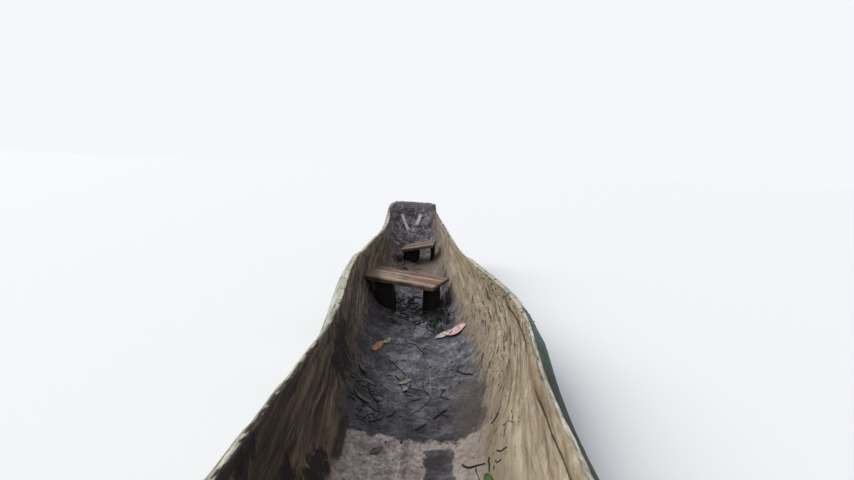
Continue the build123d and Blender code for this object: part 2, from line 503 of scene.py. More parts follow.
def hewnRelief(point, normal, zone, grain):  # how far the tool marks and wear move a point, as a vector
    look = hullLook
    inside, rim, height = zone
    x, y, z = point
    side = 1 if y > 0 else -1
    long, wide = look["adze"]
    cell = Vector(((x + 0.1 * side) / long, grain / wide, 7.0 * inside))
    reach = min(0.75, noise.voronoi(cell)[0][0])
    scoop = look["adzeDeep"] * (2.2 * reach * reach - 0.5)
    coarse = noiseAt(x * 1.4, y * 3.0, z * 3.0 + 5 * inside)
    flat = smooth(height, *look["wornFloor"]) * inside if inside > 0.9 else 0.0
    depth = scoop * (0.5 + 0.5 * inside) * (1 - 0.45 * flat)
    depth += look["wave"] * coarse * (1 - 0.6 * flat) - look["planedOff"] * (1 - inside)
    depth += look["ripple"] * noiseAt(x * 22, y * 34, z * 34)
    depth += look["rampWave"] * smooth(x, *look["ramp"]) * inside * noiseAt(x * 15, y * 17, z * 9)
    depth -= crackDepth(x, side, rim)
    underStrip = smooth(x, *look["stripStart"]) * smooth(x, *look["stripEnd"])
    underStrip *= smooth(abs(rim), *look["stripReach"])
    depth = depth * (1 - underStrip) - look["stripBed"] * underStrip
    move = Vector(normal) * depth
    if abs(rim) < look["chipReach"][0]:
        edge = smooth(abs(rim), *look["chipReach"]) * (1 - underStrip)
        worn = noiseAt(x * 6.5, side * 4, 1) + 0.5 * noiseAt(x * 19, side * 9, 2)
        move.z -= edge * (look["chip"] * max(0.0, worn - 0.12) + look["rounded"])
        move.y += edge * look["rimSway"] * noiseAt(x * 3.1, side * 6, 4)
    biteFrom, biteTo, biteDeep = look["bite"]
    steep, slanting = look["biteEnds"]
    if side > 0 and biteFrom < x < biteTo and inside < 0.9:
        bitten = smooth(x, biteFrom, biteFrom + steep) * smooth(x, biteTo, biteTo - slanting)
        move.y -= biteDeep * bitten * (1 - inside) * smooth(abs(rim), *look["biteReach"])
    return move


def grainCorners(rows, alongGrain):  # the place along and across the grain of every corner of every face
    u = np.repeat(alongGrain, columnCount).reshape(rows, columnCount)
    v = np.tile(np.arange(columnCount + 1) * hullLook["grainStep"], (rows, 1))
    corners = np.stack([
        np.stack([u[:-1], v[:-1, :-1]], -1), np.stack([u[:-1], v[:-1, 1:]], -1),
        np.stack([u[1:], v[1:, 1:]], -1), np.stack([u[1:], v[1:, :-1]], -1),
    ], axis=2).reshape(-1, 2)
    fans = np.zeros((columnCount * 6, 2))  # the two ends close in triangles
    return np.vstack([corners, fans])


def buildHull():
    look = hullLook
    points, alongGrain = cappedRows()
    rows = len(points)
    zones = hullZones(points, rows)
    keep, share = look["cornerMix"]
    for k in np.cumsum([0, look["outerSteps"], look["topSteps"], look["innerSteps"]]):
        before, after = points[:, k - 1], points[:, (k + 1) % columnCount]
        points[:, k] = keep * points[:, k] + share * (before + after)
    flat = np.vstack([points.reshape(-1, 3), points[0].mean(0), points[-1].mean(0)])
    zoneRun = np.vstack([zones.reshape(-1, 3), [(0, -0.2, 0.1)] * 2])
    mesh = asMesh("hewnHull", flat, hullFaces(rows, columnCount, len(flat) - 2, len(flat) - 1))
    columnGrain = np.tile(np.arange(columnCount) * look["grainStep"], rows).tolist() + [0, 0]
    normals = rowsOf(mesh.vertex_normals, "vector")
    moved = [
        point + np.array(hewnRelief(point, normal, zone, grain))
        for point, normal, zone, grain in zip(flat, normals, zoneRun, columnGrain)
    ]
    moved = np.clip(moved, np.array(cadBox[0]) + look["boxGap"], np.array(cadBox[1]) - look["boxGap"])
    mesh.vertices.foreach_set("co", moved.ravel())
    store(mesh, "zones", zoneRun)
    mesh.uv_layers.new(name="grain").data.foreach_set("uv", grainCorners(rows, alongGrain).ravel())
    mesh.update()
    return mesh


def hullGround():  # the hull's finish, with what its layers share: where a spot is, its grain, its noises
    f = Finish("hewnHull")
    f.ramps, f.along = hullLook["tones"], hullLook["along"]
    f.at = f.place()
    f.x, f.y, f.z = f.parts(f.at)
    f.starboard = 0 - f.y
    f.toPort = f.y.rise(-0.05, 0.05)
    f.inside, f.rim, f.height = f.parts(f.stored("zones"))
    f.within = f.inside.rise(0.55, 0.8)
    f.blotch = f.noise(f.at, 3.1, 5)
    f.mottle = f.noise(f.at, 14, 5, 0.62)
    f.speck = f.noise(f.at, 60, 4, 0.65)
    f.grain = f.node("UVMap", {"uv_map": "grain"})
    alongLog, aroundLog, _ = f.parts(f.grain)
    climb = (alongLog - 1.1) * (f.y.rise(-0.02, 0.02) * 0.5 - 0.25)  # to the gunwale going forward
    waver = (f.mottle - 0.5) * 0.035 + (f.blotch - 0.5) * 0.06
    f.strokes = f.node("CombineXYZ", {}, [alongLog, aroundLog + (climb + waver) * f.within, 0.0])
    f.streak = f.strands(f.strokes, (2.4, 30, 1), 7, 0.66)
    f.fibre = f.strands(f.strokes, (11, 170, 1), 4, 0.65)
    f.pores = 1 - f.fibre.rise(0.36, 0.5)
    return f


def sunlitWall(f):  # starboard: tan, with dark spots and dashes abreast of the near bench
    fore = f.x.rise(*f.along["foreWall"])
    tan = f.tones(f.streak, *f.ramps["sunlit"])
    tan = f.mix(f.mottle.stirred(f.streak, 0.6).rise(0.5, 0.66) * 0.5, tan, "8a826f")
    tan = f.mix(f.pores * (f.x.rise(*f.along["deepPores"]) * 0.22 + 0.16), tan, "604c33")
    tan = f.mix(fore * f.speck.rise(0.51, 0.58) * 0.4, tan, "64523e")
    tan = f.mix(fore * f.height.stirred(f.mottle, 0.2).rise(0.2, 0.08) * 0.5, tan, "958a80")
    mossy = f.rim.stirred(f.mottle, 0.1).rise(0.06, 0.015) * f.x.rise(*f.along["mossyEnd"])
    tan = f.mix(fore * mossy * 0.3, tan, "716c45")
    spots = f.strands(f.strokes, (13, 28, 1), 2, 0.5).rise(0.64, 0.68) * f.x.band(*f.along["spots"])
    dashes = f.strands(f.strokes, (6, 50, 1), 3, 0.5).rise(0.585, 0.63) * f.x.band(*f.along["dashes"])
    dashes = dashes * f.rim.band(0.1, 0.1, 0.5)
    return f.mix(spots.orMore(dashes) * 0.8, tan, "3d2d1f")


def shadedWall(f):  # port: dark, paler under the gunwale, with dried clay low down
    shade = f.tones(f.streak, *f.ramps["shaded"])
    shade = f.mix(f.blotch.rise(0.47, 0.6) * 0.45, shade, "3a302b")
    shade = f.mix(f.pores * 0.45, shade, "231b19")
    pale = f.rim.stirred(f.mottle, 0.12).rise(0.13, 0.03) * f.x.rise(*f.along["paleWall"])
    shade = f.mix(pale * f.mottle.rise(0.42, 0.55) * 0.5, shade, "8c7f6c")
    clay = f.x.stirred(f.mottle, 0.4).band(*f.along["clay"])
    clay = clay * f.height.stirred(f.mottle, 0.1).band(0.07, 0.09, 0.6)
    return f.mix(clay * f.speck.rise(0.38, 0.55) * 0.55, shade, "8f8079")


def bothWalls(f):
    wall = f.mix(f.y.stirred(f.mottle, 0.1).rise(-0.04, 0.08), sunlitWall(f), shadedWall(f))
    # painted shade: the port wall darker aft and high up
    aftShade = f.x.stirred(f.blotch, 0.8).rise(*f.along["aftShade"])
    aftShade = f.y.rise(0.12, 0.22) * aftShade * f.height.rise(0.08, 0.2)
    wall = f.mix(aftShade * 0.6, wall, "2c241f")
    soiled = f.height.stirred(f.mottle, 0.12).rise(0.17, 0.04)
    return f.mix(soiled * 0.65, wall, "6a5c4c")


def wallFlecks(f):  # short dark marks along the strokes, and long fine checks
    checks = (f.strands(f.grain, (0.8, 26, 1), 4, 0.5) - 0.5).size().rise(0.011, 0.002)
    checks = checks * f.noise(f.at, 4.2, 3).rise(0.5, 0.6) * (f.y.rise(-0.1, 0.1) * 0.55 + 0.35)
    fleck = f.strands(f.strokes, (13, 84, 1), 3, 0.5).rise(0.585, 0.64)
    fine = f.strands(f.strokes, (40, 190, 1), 2, 0.5).rise(0.6, 0.67)
    crowd = (f.noise(f.at, 2.9, 3) + f.x.near(*f.along["fleckCrowd"]) * 0.13).rise(0.42, 0.58)
    crowd = crowd * (f.x.rise(*f.along["fleckStart"]) * 0.8 + 0.2)
    return (fleck.orMore(fine * 0.7) * crowd).orMore(checks) * f.x.rise(*f.along["fleckEnd"])


def gougeMask(f):
    stroke = (f.strands(f.at, (30, 60, 17), 3, 0.6) - 0.5) * 5
    mask = None
    for spotX, spotZ, long, high in hullLook["gouges"]:
        offX, offZ = (f.x - spotX) * (1 / long), (f.z - spotZ) * (1 / high)
        oval = (offX * offX + offZ * offZ + stroke).rise(1.3, 0.5)
        mask = mask.orMore(oval) if mask else oval
    return mask * f.y.rise(0.1, 0.15) * f.within


def bowRamp(f, wall):  # grey, with a paler tip and a broken dark corner to starboard
    ramp = f.x.stirred(f.mottle, 0.4).rise(*f.along["ramp"])
    tone = f.tones(f.mottle * 0.5 + f.speck * 0.5, *f.ramps["ramp"])
    tone = f.mix(f.x.stirred(f.speck, 0.08).rise(*f.along["rampTip"]), tone, "7d7675")
    wall = f.mix(ramp * (1 - f.starboard.rise(0.09, 0.15) * 0.75), wall, tone)
    broken = f.x.stirred(f.speck, 0.06).band(*f.along["brokenCorner"])
    broken = broken * f.y.stirred(f.mottle, 0.05).rise(-0.085, -0.11)
    return f.mix(broken * f.mottle.rise(0.36, 0.46) * 0.9, wall, "2b1f1c")


def dryFloor(f, wall):  # pale silt with grit, dirtier from the near bench forward
    low = f.height.stirred(f.mottle, 0.07).stirred(f.blotch, 0.05).rise(0.06, 0.02)
    low = low * f.x.rise(*f.along["siltEnd"])
    silt = f.tones(f.mottle * 0.5 + f.speck * 0.5, *f.ramps["silt"])
    silt = f.mix(f.starboard.stirred(f.blotch, 0.1).rise(-0.02, 0.12) * 0.5, silt, "a59a88")
    silt = f.mix(f.noise(f.at, 210, 2).rise(0.66, 0.7) * 0.8, silt, "2b2423")
    silt = f.mix(f.x.rise(*f.along["dirtySilt"]) * f.speck.rise(0.44, 0.54) * 0.6, silt, "3d3733")
    return f.mix(low * 0.92, wall, silt)


def wetFloor(f, colour):  # wet mud with a frayed edge, and how sodden it is and where its brink lies
    frayed = (f.noise(f.at, 9, 4, 0.6) - 0.5) * 0.16 + (f.noise(f.at, 34, 3) - 0.5) * 0.06
    wetRun = (f.x + frayed * 1.4).rise(*f.along["wetStart"]) * (f.x + frayed * 2).rise(*f.along["wetEnd"])
    damp = (f.x + frayed * 0.9).band(*f.along["damp"]) * (f.y + frayed * 0.6).band(-0.09, 0.04, 0.2)
    sodden = f.height.stirred(f.mottle, 0.09).stirred(f.streak, 0.12).rise(0.09, 0.045)
    sodden = sodden * wetRun.orMore(damp)
    brink = (f.x + frayed).rise(*f.along["brink"]).orMore((f.y + frayed * 0.5).rise(0.05, 0.13)).orMore(damp)
    mud = f.tones(f.mottle * 0.6 + f.speck * 0.4, *f.ramps["mud"])
    mud = f.mix(brink * 0.62, mud, "211b20")
    stain = (f.starboard + frayed * 0.4).rise(0.125, 0.165) * (f.x + frayed).band(*f.along["stain"])
    mud = f.mix(stain * 0.7, mud, "41342f")
    scraped = f.strands(f.at, (1.5, 170, 0), 2).rise(0.57, 0.64)
    scraped = scraped * f.y.band(-0.095, 0.045, 0.4) * f.x.band(*f.along["scraped"])
    mud = f.mix(scraped * 0.5, mud, "8c8893")
    colour = f.mix(sodden * 0.96, colour, mud)
    crease = (f.y + frayed * 0.1).band(0.185, 0.017, 0.6) * (f.x + frayed).band(*f.along["crease"])
    colour = f.mix(crease * f.speck.rise(0.3, 0.42) * 0.85, colour, "17151a")
    return colour, sodden, brink


def rimLines(f, colour):  # cracks along the starboard wall and the ochre about them, and where the cracks run
    run = (f.rim - 0.034).stirred(f.strands(f.grain, (2.5, 0, 0), 3), 0.012)
    lines = run.size().stirred(f.speck, 0.004).rise(0.0045, 0.001) * f.x.rise(*f.along["lowerCrack"])
    upper = (run + 0.017).stirred(f.speck, 0.006).size().rise(0.005, 0.001) * f.x.band(*f.along["upperCrack"])
    onStarboard = f.y.rise(0.02, -0.02)
    lines = lines.orMore(upper) * onStarboard
    colour = f.mix(lines * f.within * 0.85, colour, "2a1d13")
    ochre = f.rim.rise(0.05, 0.03) * onStarboard * f.within * f.mottle.rise(0.4, 0.55)
    ochre = ochre * f.x.rise(*f.along["ochre"])
    return f.mix(ochre * (1 - lines) * 0.4, colour, "86704a"), lines


def outerWood(f):  # one weathered grey-green outside, with painted shade to starboard and painted light, pale, to port; dark low down
    grey = f.streak * 0.7 + f.mottle * 0.3
    # pale tones to port are painted light, darker ones to starboard painted shade, in the streaks and the
    # blotches
    wood = f.mix(f.toPort, f.tones(grey, *f.ramps["shadedGreyGreen"]), f.tones(grey, *f.ramps["bleached"]))
    wood = f.mix(f.blotch.rise(0.5, 0.62) * 0.35, wood, f.mix(f.toPort, "56604f", "858b7b"))
    wood = f.mix(f.strands(f.grain, (4, 30, 1), 5, 0.65).rise(0.56, 0.63) * 0.6, wood, "857f6e")
    # painted shade: the starboard outside darker aft
    aft = f.x.stirred(f.blotch, 0.3).rise(*f.along["shadedAftOutside"]) * f.y.rise(0.05, -0.05)
    wood = f.mix(aft * 0.8, wood, "3b3835")
    return f.mix(f.z.stirred(f.mottle, 0.05).rise(0.03, -0.02) * 0.85, wood, "2a2c23")


def gunwaleTop(f, colour):  # worn pale, with painted shadow along the starboard strip's inner edge
    worn = f.tones(f.strands(f.grain, (20, 60, 1), 5, 0.65), *f.ramps["gunwale"])
    worn = f.mix(f.blotch.rise(0.52, 0.64) * 0.4, worn, "7f7c62")
    # painted shadow of the undercut along the starboard strip's inner edge
    under = f.inside.band(0.66, 0.24, 0.6) * f.x.rise(*f.along["underStrip"]) * f.y.rise(0, -0.05)
    under = under * f.mottle.rise(0.34, 0.48)
    colour = f.mix(under * 0.8, colour, "2c251d")
    ragged = f.inside.rise(0.3, 0.5) * f.y.rise(0, 0.1) * f.x.rise(*f.along["raggedTop"])
    ragged = ragged * f.mottle.rise(0.42, 0.5)
    top = f.inside.rise(0.08, 0.3) * f.inside.rise(0.86, 0.66) * (1 - under) * (1 - ragged)
    return f.mix(top * f.mottle.rise(0.2, 0.36) * f.x.rise(*f.along["wornTop"]), colour, worn)


def hullFinish():
    f = hullGround()
    flecks, gouge = wallFlecks(f), gougeMask(f)
    # the flecks: dark brown to starboard, near black to port with painted shade
    wall = f.mix(flecks * 0.85, bothWalls(f), f.mix(f.toPort, "43341f", "17110f"))
    wall = f.mix(gouge * 0.97, wall, f.mix(f.fibre.rise(0.46, 0.6) * 0.6, "0b0609", "30222a"))
    colour, sodden, brink = wetFloor(f, dryFloor(f, bowRamp(f, wall)))
    colour, lines = rimLines(f, colour)
    colour = f.mix(1 - f.inside.rise(0.04, 0.3), colour, outerWood(f))
    colour = gunwaleTop(f, colour)
    rough = 0.88 - sodden * (0.30 + f.speck * 0.36) * (1 - brink * 0.6) - (f.mottle - 0.5) * 0.2
    bump = f.streak * 0.4 + f.fibre * 0.25 + f.mottle * 0.4 + f.speck * 0.3
    bump = bump - flecks * 0.4 - lines * 1.2 - gouge
    return f.lay(colour, rough, bump * (1 - sodden * 0.5), 0.006, 0.25)


hull = addPiece("hewn_hull", buildHull(), hullFinish(), "hull_wood", "hull")
print("hull:", len(hull.data.polygons), "faces")


# Benches, legs and battens: the CAD solids drawn again as rough, worn timber

# Columns: how the bench is turned, axis of the grain, size of the faces, depth of the saw marks, of wear
# at the edges and of hollows, and splits (place across, start and end as shares of the length, depth)
timberColumns = ("turn", "grain", "voxel", "saw", "wear", "hollow", "splits")
level, nearTurn, foreTurn = (0, 0, 0), (8, -6, 0), (-14, -3, -16)
timberRows = {
    "near_bench_seat": (nearTurn, 1, 0.0036, 0.0006, 0.0075, 0.0022,
                        [(0.42, 0.02, 0.98, 0.003), (-0.55, 0.0, 0.5, 0.002), (-0.93, 0.25, 0.62, 0.006)]),
    "near_bench_port_leg": (nearTurn, 2, 0.0042, 0.0016, 0.011, 0.004, [(0.3, 0.0, 0.9, 0.005)]),
    "near_bench_starboard_leg": (nearTurn, 2, 0.0042, 0.0016, 0.011, 0.004, [(-0.2, 0.1, 1.0, 0.005)]),
    "fore_bench_seat": (foreTurn, 1, 0.0030, 0.0009, 0.009, 0.003, [(0.2, 0.1, 0.9, 0.003)]),
    "fore_bench_port_block": (foreTurn, 2, 0.0036, 0.002, 0.014, 0.006, [(0.1, 0.0, 1.0, 0.006)]),
    "fore_bench_starboard_prop": (foreTurn, 2, 0.0026, 0.001, 0.004, 0.001, []),
    "passenger_bench_seat": (level, 1, 0.0046, 0.0006, 0.006, 0.002,
                             [(0.3, 0.0, 0.6, 0.003), (-0.35, 0.5, 1.0, 0.003)]),
    "passenger_bench_port_leg": (level, 2, 0.0048, 0.0012, 0.008, 0.003, [(0.3, 0.0, 0.8, 0.004)]),
    "passenger_bench_starboard_leg": (level, 2, 0.0048, 0.0012, 0.008, 0.003, [(-0.4, 0.2, 1.0, 0.004)]),
    "stern_bench_seat": (level, 1, 0.0044, 0.0006, 0.006, 0.002, [(-0.2, 0.1, 0.9, 0.003)]),
    "stern_bench_port_leg": (level, 2, 0.0046, 0.0012, 0.007, 0.003, []),
    "stern_bench_starboard_leg": (level, 2, 0.0046, 0.0012, 0.007, 0.003, []),
    "bow_batten_port": ((0, -34.8, 21.3), 0, 0.0017, 0.0003, 0.0012, 0.0003, []),
    "bow_batten_starboard": ((0, -36.0, -15.4), 0, 0.0017, 0.0003, 0.0012, 0.0003, []),
}
timberLook = {node: dict(zip(timberColumns, row)) for node, row in timberRows.items()}

wearLook = {
    "weld": 0.00001,
    "faceTilt": 0.7,  # how squarely a face has to lie for a split to show on it
    "edge": (0.016, 0.002),  # from the second nearest side
    "splitSway": 0.004, "splitHalf": (0.0042, 0.0008), "splitPast": 0.02, "splitFade": 0.1,
    "deepest": 0.45,  # of half the thickness
}


def evenSolid(node):  # a CAD solid as a closed mesh of small even faces
    shape = bmesh.new()
    shape.from_mesh(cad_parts[node].data)
    bmesh.ops.remove_doubles(shape, verts=shape.verts, dist=wearLook["weld"])
    plain = bpy.data.meshes.new("plain")
    shape.to_mesh(plain)
    shape.free()
    holder = shown("holder", plain)
    remesh = holder.modifiers.new("even", "REMESH")
    remesh.mode = "VOXEL"
    remesh.voxel_size = timberLook[node]["voxel"]
    remesh.use_smooth_shade = True
    return worked(holder)


def timberFrame(look):  # axes of a plank: fore, athwart and up, before it was set down crooked
    heel, pitch, turn = (radians(angle) for angle in look["turn"])
    return np.array(Euler((heel, pitch, turn), "ZYX").to_matrix())


def splitDepth(look, share, b, middle, half, a, seed):  # at a share of the length, b across and a along
    wear = wearLook
    past, found = wear["splitPast"], 0.0
    for place, start, end, deepest in look["splits"]:
        if start - past < share < end + past:
            line = middle + half * place + wear["splitSway"] * noiseAt(a * 9, place * 30, seed)
            fade = smooth(share, start - past, start + wear["splitFade"])
            fade *= smooth(share, end + past, end - wear["splitFade"])
            found += deepest * fade * smooth(abs(b - line), *wear["splitHalf"])
    return found


def wornTimber(node, seed):
    look = timberLook[node]
    mesh = evenSolid(node)
    points = rowsOf(mesh.vertices, "co")
    normals = rowsOf(mesh.vertex_normals, "vector")
    axes = timberFrame(look)
    local = (points - points.mean(0)) @ axes
    low, high = local.min(0), local.max(0)
    grain = look["grain"]
    across = 1 if grain == 0 else 0
    thick = 3 - grain - across
    half = (high - low) / 2
    middle = (high + low) / 2
    facing = normals @ axes
    toSides = np.minimum(local - low, high - local)
    depth = np.empty(len(points))
    for i, spot in enumerate(local):
        a, b, c = spot[grain], spot[across], spot[thick]
        wave = 0.5 + 0.5 * noiseAt(a * 4, b * 7 + seed, c * 7)
        saw = abs(noiseAt(a * 18, b * 210 + seed, c * 210))
        edge = smooth(np.sort(toSides[i])[1], *wearLook["edge"])
        chip = noiseAt(a * 13 + seed, b * 13, c * 13) + 0.5 * noiseAt(a * 41, b * 41, c * 41 + seed)
        deep = look["hollow"] * wave + look["saw"] * saw + edge * look["wear"] * max(0.0, chip + 0.05)
        if abs(facing[i, thick]) > wearLook["faceTilt"]:
            share = (a - low[grain]) / (high[grain] - low[grain])
            deep += splitDepth(look, share, b, middle[across], half[across], a, seed)
        depth[i] = min(deep, wearLook["deepest"] * half[thick])
    points = points - normals * depth[:, None]
    mesh.vertices.foreach_set("co", points.ravel())
    store(mesh, "timber", np.column_stack([local[:, grain], local[:, across], local[:, thick]]))
    mesh.polygons.foreach_set("use_smooth", [True] * len(mesh.polygons))
    mesh.update()
    return mesh


plankTones = {  # four tones, a colour for dirt and painted shade, from where along the plank the dirty end with painted shade starts, and the grain's shift
    "near_plank": (("523a2d", "86685a", "a58975", "cdb29b"), "38271f", 0.09, 0.0),
    "fore_plank": (("4a3e33", "796855", "988672", "b9a68d"), "2b2622", 0.12, 3.0),
    "aft_plank": (("5b4636", "83695a", "9c8370", "b89f88"), "41332a", 0.5, 6.0),
}


def plankFinish(name):
    tones, dirtAndShade, dirtAndShadeFrom, shift = plankTones[name]
    f = Finish(name)
    spot = f.shift(f.stored("timber"), (shift, 0, 0))
    lengthwise, _, deep = f.parts(f.stored("timber"))
    bands = f.strands(spot, (2.6, 46, 46), 5, 0.62)
    fibre = f.strands(spot, (16, 360, 360), 3, 0.6)
    blotch = f.noise(f.place(), 11, 5, 0.6)
    colour = f.tones(bands, *zip((0.36, 0.45, 0.54, 0.63), tones))
    colour = f.mix((1 - fibre.rise(0.34, 0.52)) * 0.6, colour, tones[0])
    colour = f.mix(blotch.rise(0.52, 0.68) * 0.4, colour, dirtAndShade)
    # the port end darker: dirt, with the port wall's shade painted in
    colour = f.mix(lengthwise.stirred(blotch, 0.12).rise(dirtAndShadeFrom, dirtAndShadeFrom + 0.07) * 0.8, colour, dirtAndShade)
    # the sides darker: painted shade
    colour = f.mix(deep.size().rise(0.0115, 0.004) * 0.35, colour, dirtAndShade)
    return f.lay(colour, 0.82 - (bands - 0.5) * 0.3, bands * 0.5 + fibre * 0.6 + blotch * 0.2, 0.004)


def darkFinish():
    f = Finish("dark_damp_wood")
    bands = f.strands(f.stored("timber"), (5, 60, 60), 5, 0.62)
    blotch = f.noise(f.place(), 16, 5, 0.6)
    # near black: damp wood with the shade under the benches painted in
    tones = (0.36, "070505"), (0.5, "120e0d"), (0.6, "241c1a"), (0.74, "463a33")
    colour = f.tones(bands * 0.6 + blotch * 0.4, *tones)
    return f.lay(colour, 0.7 - (blotch - 0.5) * 0.5, bands * 0.7 + blotch * 0.4, 0.007, 0.2)


def battenFinish():
    f = Finish("pale_batten")
    bands = f.strands(f.stored("timber"), (8, 160, 160), 4, 0.6)
    blotch = f.noise(f.place(), 30, 4, 0.6)
    colour = f.tones(bands, (0.3, "9a8d90"), (0.45, "bcb0b2"), (0.58, "d0c6c6"), (0.7, "e4dcda"))
    colour = f.mix(blotch.rise(0.55, 0.72) * 0.6, colour, "6c6063")
    return f.lay(colour, 0.8, bands + blotch * 0.4, 0.002)


finishes = {name: plankFinish(name) for name in plankTones}
finishes["dark"] = darkFinish()
finishes["batten"] = battenFinish()

timber = [
    ("near_bench_seat", "near_plank", "plank_wood"),
    ("fore_bench_seat", "fore_plank", "plank_wood"),
    ("passenger_bench_seat", "aft_plank", "plank_wood"),
    ("stern_bench_seat", "aft_plank", "plank_wood"),
    ("bow_batten_port", "batten", "pale_batten"),
    ("bow_batten_starboard", "batten", "pale_batten"),
]
timber += [(node, "dark", "dark_wood") for node in timberLook if node.endswith(("leg", "block", "prop"))]
for seed, (node, finish, slot) in enumerate(timber):
    addPiece("worn_" + node, wornTimber(node, 3.7 * seed), finishes[finish], slot, node)
print("timber pieces:", len(timber))


# Cover strips: drawn again from their sections, frayed along both edges

stripLook = {
    "step": 0.005, "flatSteps": 9, "sideSteps": 3, "endGap": 0.0004,
    "fray": 0.0055, "frayReach": (0.004, 0.010), "lift": 0.0012,
    "hold": 0.009,  # outwards of the middle, where the strip stays when its ends taper
    "taper": 0.75, "taperRun": 0.09,
}


def stripRing(under, over):
    look = stripLook
    return np.vstack([
        spread(under, 0, lengthAlong(under)[-1], look["flatSteps"] + 2 * look["sideSteps"]),
        spread(over, 0, lengthAlong(over)[-1], look["flatSteps"]),
    ])


def stripMesh(node, side, seed):
    look = stripLook
    solid = triangles(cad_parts[node])
    start, end = solid[:, :, 0].min() + look["endGap"], solid[:, :, 0].max() - look["endGap"]
    rows = []
    for x in np.linspace(start, end, round((end - start) / look["step"])):
        ring = stripRing(*outline(solid, float(x) + nudge))
        middle = ring.mean(0)
        hold = middle[0] - look["hold"] * side
        narrow = 1 - look["taper"] * smooth(min(x - start, end - x), look["taperRun"], 0)
        for k, (y, z) in enumerate(ring):
            beyond = y > middle[0]
            sway = noiseAt(x * 17, seed + 3 * beyond, 0) + 0.6 * noiseAt(x * 60, seed, beyond)
            inward = look["fray"] * max(0.0, sway + 0.1) * smooth(abs(y - middle[0]), *look["frayReach"])
            ring[k, 0] = hold + (y - inward * np.sign(y - middle[0]) - hold) * narrow
            if z > middle[1]:
                ring[k, 1] = z - look["lift"] * (0.5 + 0.5 * noiseAt(x * 30, y * 300, seed))
        rows.append(np.column_stack([np.full(len(ring), x), ring]))
    rows = np.array(rows)
    quads, at, _ = quadsBetween(*rows.shape[:2])
    mesh = asMesh(node, rows.reshape(-1, 3), quads + [at[0][::-1].tolist(), at[-1].tolist()])
    centre = rows[:, :, 1:].mean(1, keepdims=True)
    store(mesh, "timber", np.concatenate([rows[:, :, :1], (rows[:, :, 1:] - centre) * (side, 1)], axis=-1))
    return mesh


def stripFinish(name, mossy):
    f = Finish(name)
    lengthwise, outward, _ = f.parts(f.stored("timber"))
    bands = f.strands(f.stored("timber"), (7, 190, 60), 5, 0.6)
    blotch = f.noise(f.place(), 24, 5, 0.6)
    tones = (0.32, "857b66"), (0.44, "b3a88f"), (0.56, "cdc3ac"), (0.72, "e0d8c6")
    colour = f.tones(bands * 0.7 + blotch * 0.3, *tones)
    sage = f.tones(blotch, (0.35, "7d8c7f"), (0.55, "a8b5ac"), (0.7, "bcc4b6"))
    colour = f.mix(outward.stirred(blotch, 0.008).rise(0.001, 0.004) * 0.75, colour, sage)
    if mossy:
        moss = blotch.stirred(bands, 0.4).rise(0.5, 0.6) * lengthwise.band(1.2, 0.35, 0.5)
        colour = f.mix(moss * 0.8, colour, "5d6a45")
    return f.lay(colour, 0.85, bands + blotch * 0.5, 0.002)


for name, side, seed, mossy in (("port", 1, 2.0, False), ("starboard", -1, 9.0, True)):
    node = "gunwale_strip_" + name
    finish = stripFinish(name + "_strip", mossy)
    addPiece("frayed_" + node, stripMesh(node, side, seed), finish, "gunwale_strip", node)
print("cover strips done")


# What lies in the hollow and grows on it, set down on the finished hull

hullSurface = surfaceOf(hull.data)
castFrom = 0.19  # below the gunwales and above all that lies on the floor


def onHull(x, y, z=None):  # the place on the inside, below or nearest, and which way it faces
    if z is None:
        return hullSurface.ray_cast(Vector((x, y, castFrom)), Vector((0, 0, -1)))[:2]
    return hullSurface.find_nearest(Vector((x, y, z)))[:2]


def evenPoints(path, step):  # along a path given by its corners
    corners = np.array(path, float)
    run = np.concatenate([[0], np.cumsum(np.linalg.norm(np.diff(corners, axis=0), axis=1))])
    at = np.linspace(0, run[-1], max(3, round(run[-1] / step)))
    return np.column_stack([np.interp(at, run, corners[:, k]) for k in range(corners.shape[1])])


def tube(spots, radii, sides=6):  # a closed tapering tube
    points, faces = [], []
    for i, (spot, radius) in enumerate(zip(spots, radii)):
        ahead = (spots[min(i + 1, len(spots) - 1)] - spots[max(i - 1, 0)]).normalized()
        side = ahead.cross(Vector((0, 0, 1))).normalized()
        over = side.cross(ahead)
        for k in range(sides):
            angle = 2 * pi * k / sides
            points.append(spot + radius * (cos(angle) * side + sin(angle) * over))
    for i in range(len(spots) - 1):
        for k in range(sides):
            a, b = i * sides + k, i * sides + (k + 1) % sides
            faces.append((a, a + sides, b + sides, b))
    faces.append(tuple(range(sides)))
    faces.append(tuple(reversed(range(len(points) - sides, len(points)))))
    return points, faces


def joined(name, parts):
    points, faces = [], []
    for somePoints, someFaces in parts:
        start = len(points)
        points += somePoints
        faces += [tuple(start + i for i in face) for face in someFaces]
    return asMesh(name, points, faces)


